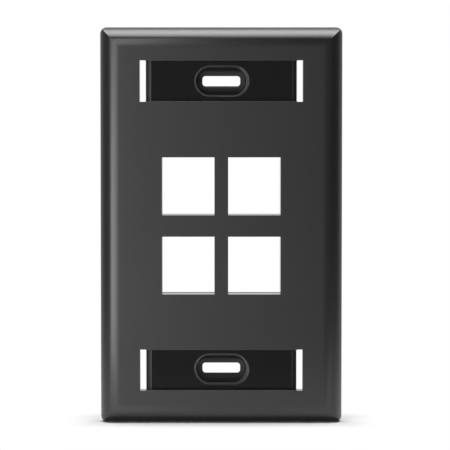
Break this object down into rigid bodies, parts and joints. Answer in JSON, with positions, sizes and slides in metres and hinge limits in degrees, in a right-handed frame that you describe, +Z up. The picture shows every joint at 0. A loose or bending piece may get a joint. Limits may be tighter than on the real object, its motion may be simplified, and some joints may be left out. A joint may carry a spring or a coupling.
{
  "type": "keystone faceplate",
  "caption": "Single-gang wall plate moulding with a grid of open keystone ports and a label recess above and below them, screwed through slots in the recess floors.",
  "frame": {"origin": "centre of the plate in the plane of its rear rim, which is the wall", "axes": "+X to the right as seen from the room, +Y into the wall, +Z up; the visible face looks along -Y"},
  "size_m": [0.0698, 0.01, 0.1142],
  "materials": {
    "moulded_plastic": "satin"
  },
  "bodies": {
    "root": {"faceplate": "moulded_plastic"}
  },
  "joints": []
}
